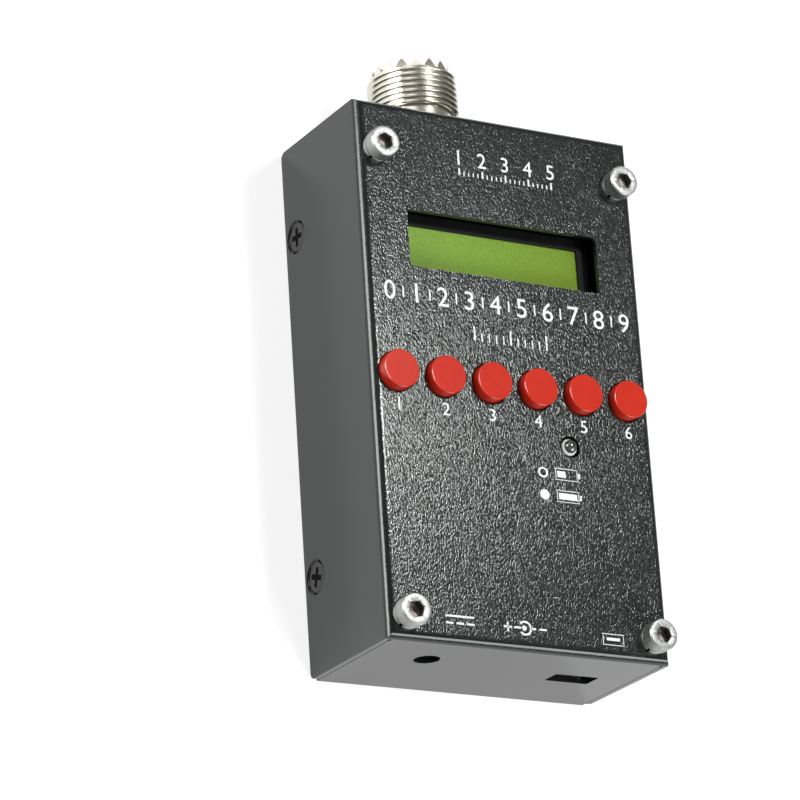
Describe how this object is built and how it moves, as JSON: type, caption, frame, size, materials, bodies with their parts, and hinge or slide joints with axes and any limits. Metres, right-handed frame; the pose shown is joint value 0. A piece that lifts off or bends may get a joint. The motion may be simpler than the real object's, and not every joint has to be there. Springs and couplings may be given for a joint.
{
  "type": "antenna analyzer",
  "caption": "Pocket antenna analyzer: folded black metal case with a green display window, a row of red keys, a threaded coaxial antenna socket on one end, DC and USB sockets on the other.",
  "frame": {"origin": "middle of the back cover's outer face, on the surface it lies on", "axes": "+Z out through the face, +Y toward the antenna socket, +X to the right when the face is read"},
  "size_m": [0.0544, 0.1082, 0.0303],
  "materials": {
    "case_coat": "black wrinkle powder coat",
    "cover_coat": "black powder coat",
    "black_steel": "blackened steel",
    "bright_steel": "bright zinc",
    "nickel": "nickel plate",
    "brass": "bare brass",
    "board_green": "solder mask",
    "lcd_black": "black lacquer",
    "lcd_green": "lit display",
    "lcd_light": "light guide",
    "key_red": "moulded, semi-gloss",
    "switch_black": "moulded",
    "lamp_clear": "clear resin",
    "tinned": "tin plate",
    "insulator_white": "turned plastic",
    "socket_black": "moulded",
    "rocker_black": "moulded, gloss",
    "cell_foil": "foil",
    "foam": "closed-cell foam",
    "plug_white": "moulded",
    "wire_red": "insulation",
    "wire_black": "insulation",
    "chip_black": "moulded epoxy",
    "ferrite": "ferrite"
  },
  "bodies": {
    "case": {"amplifier_chip": "chip_black", "back_cover": "cover_coat", "board_pillars": "brass", "cell": "cell_foil", "cell_lead_black": "wire_black", "cell_lead_red": "wire_red", "cell_pad": "foam", "cell_plug": "plug_white", "cell_plug_header": "plug_white", "charge_lamp": "lamp_clear", "charge_lamp_leads": "tinned", "charger_chip": "chip_black", "choke": "ferrite", "clock_can": "tinned", "cover_screws": "black_steel", "dc_socket_body": "socket_black", "dc_socket_pin": "nickel", "face_screws": "bright_steel", "front_case": "case_coat", "key_switch_bodies": "switch_black", "key_switch_legs": "tinned", "lcd_backlight": "lcd_light", "lcd_board": "board_green", "lcd_frame": "lcd_black", "lcd_glass": "lcd_green", "lcd_header": "switch_black", "main_board": "board_green", "microcontroller": "chip_black", "power_switch_blades": "tinned", "power_switch_frame": "rocker_black", "power_switch_wire_left": "wire_red", "power_switch_wire_right": "wire_red", "small_parts": "chip_black", "socket_contact": "nickel", "socket_insulator": "insulator_white", "socket_lock_washer": "bright_steel", "socket_nut": "nickel", "socket_shell": "nickel", "socket_wire": "tinned", "spring_washers": "bright_steel", "synthesizer_chip": "chip_black", "usb_shell": "tinned", "usb_tongue": "socket_black"},
    "key_1": {"key_cap_1": "key_red", "key_plunger_1": "switch_black"},
    "key_2": {"key_cap_2": "key_red", "key_plunger_2": "switch_black"},
    "key_3": {"key_cap_3": "key_red", "key_plunger_3": "switch_black"},
    "key_4": {"key_cap_4": "key_red", "key_plunger_4": "switch_black"},
    "key_5": {"key_cap_5": "key_red", "key_plunger_5": "switch_black"},
    "key_6": {"key_cap_6": "key_red", "key_plunger_6": "switch_black"},
    "rocker": {"power_rocker": "rocker_black"}
  },
  "joints": [
    {"name": "key_1_press", "type": "slide", "parent": "case", "child": "key_1", "axis": [0, 0, -1], "range_m": [0, 0.00025], "stiffness_N_per_m": 2000},
    {"name": "key_2_press", "type": "slide", "parent": "case", "child": "key_2", "axis": [0, 0, -1], "range_m": [0, 0.00025], "stiffness_N_per_m": 2000},
    {"name": "key_3_press", "type": "slide", "parent": "case", "child": "key_3", "axis": [0, 0, -1], "range_m": [0, 0.00025], "stiffness_N_per_m": 2000},
    {"name": "key_4_press", "type": "slide", "parent": "case", "child": "key_4", "axis": [0, 0, -1], "range_m": [0, 0.00025], "stiffness_N_per_m": 2000},
    {"name": "key_5_press", "type": "slide", "parent": "case", "child": "key_5", "axis": [0, 0, -1], "range_m": [0, 0.00025], "stiffness_N_per_m": 2000},
    {"name": "key_6_press", "type": "slide", "parent": "case", "child": "key_6", "axis": [0, 0, -1], "range_m": [0, 0.00025], "stiffness_N_per_m": 2000},
    {"name": "power_rock", "type": "hinge", "parent": "case", "child": "rocker", "pos_m": [0.014, 0.048, 0.01335], "axis": [0, 0, -1], "range_deg": [0, 16]}
  ]
}
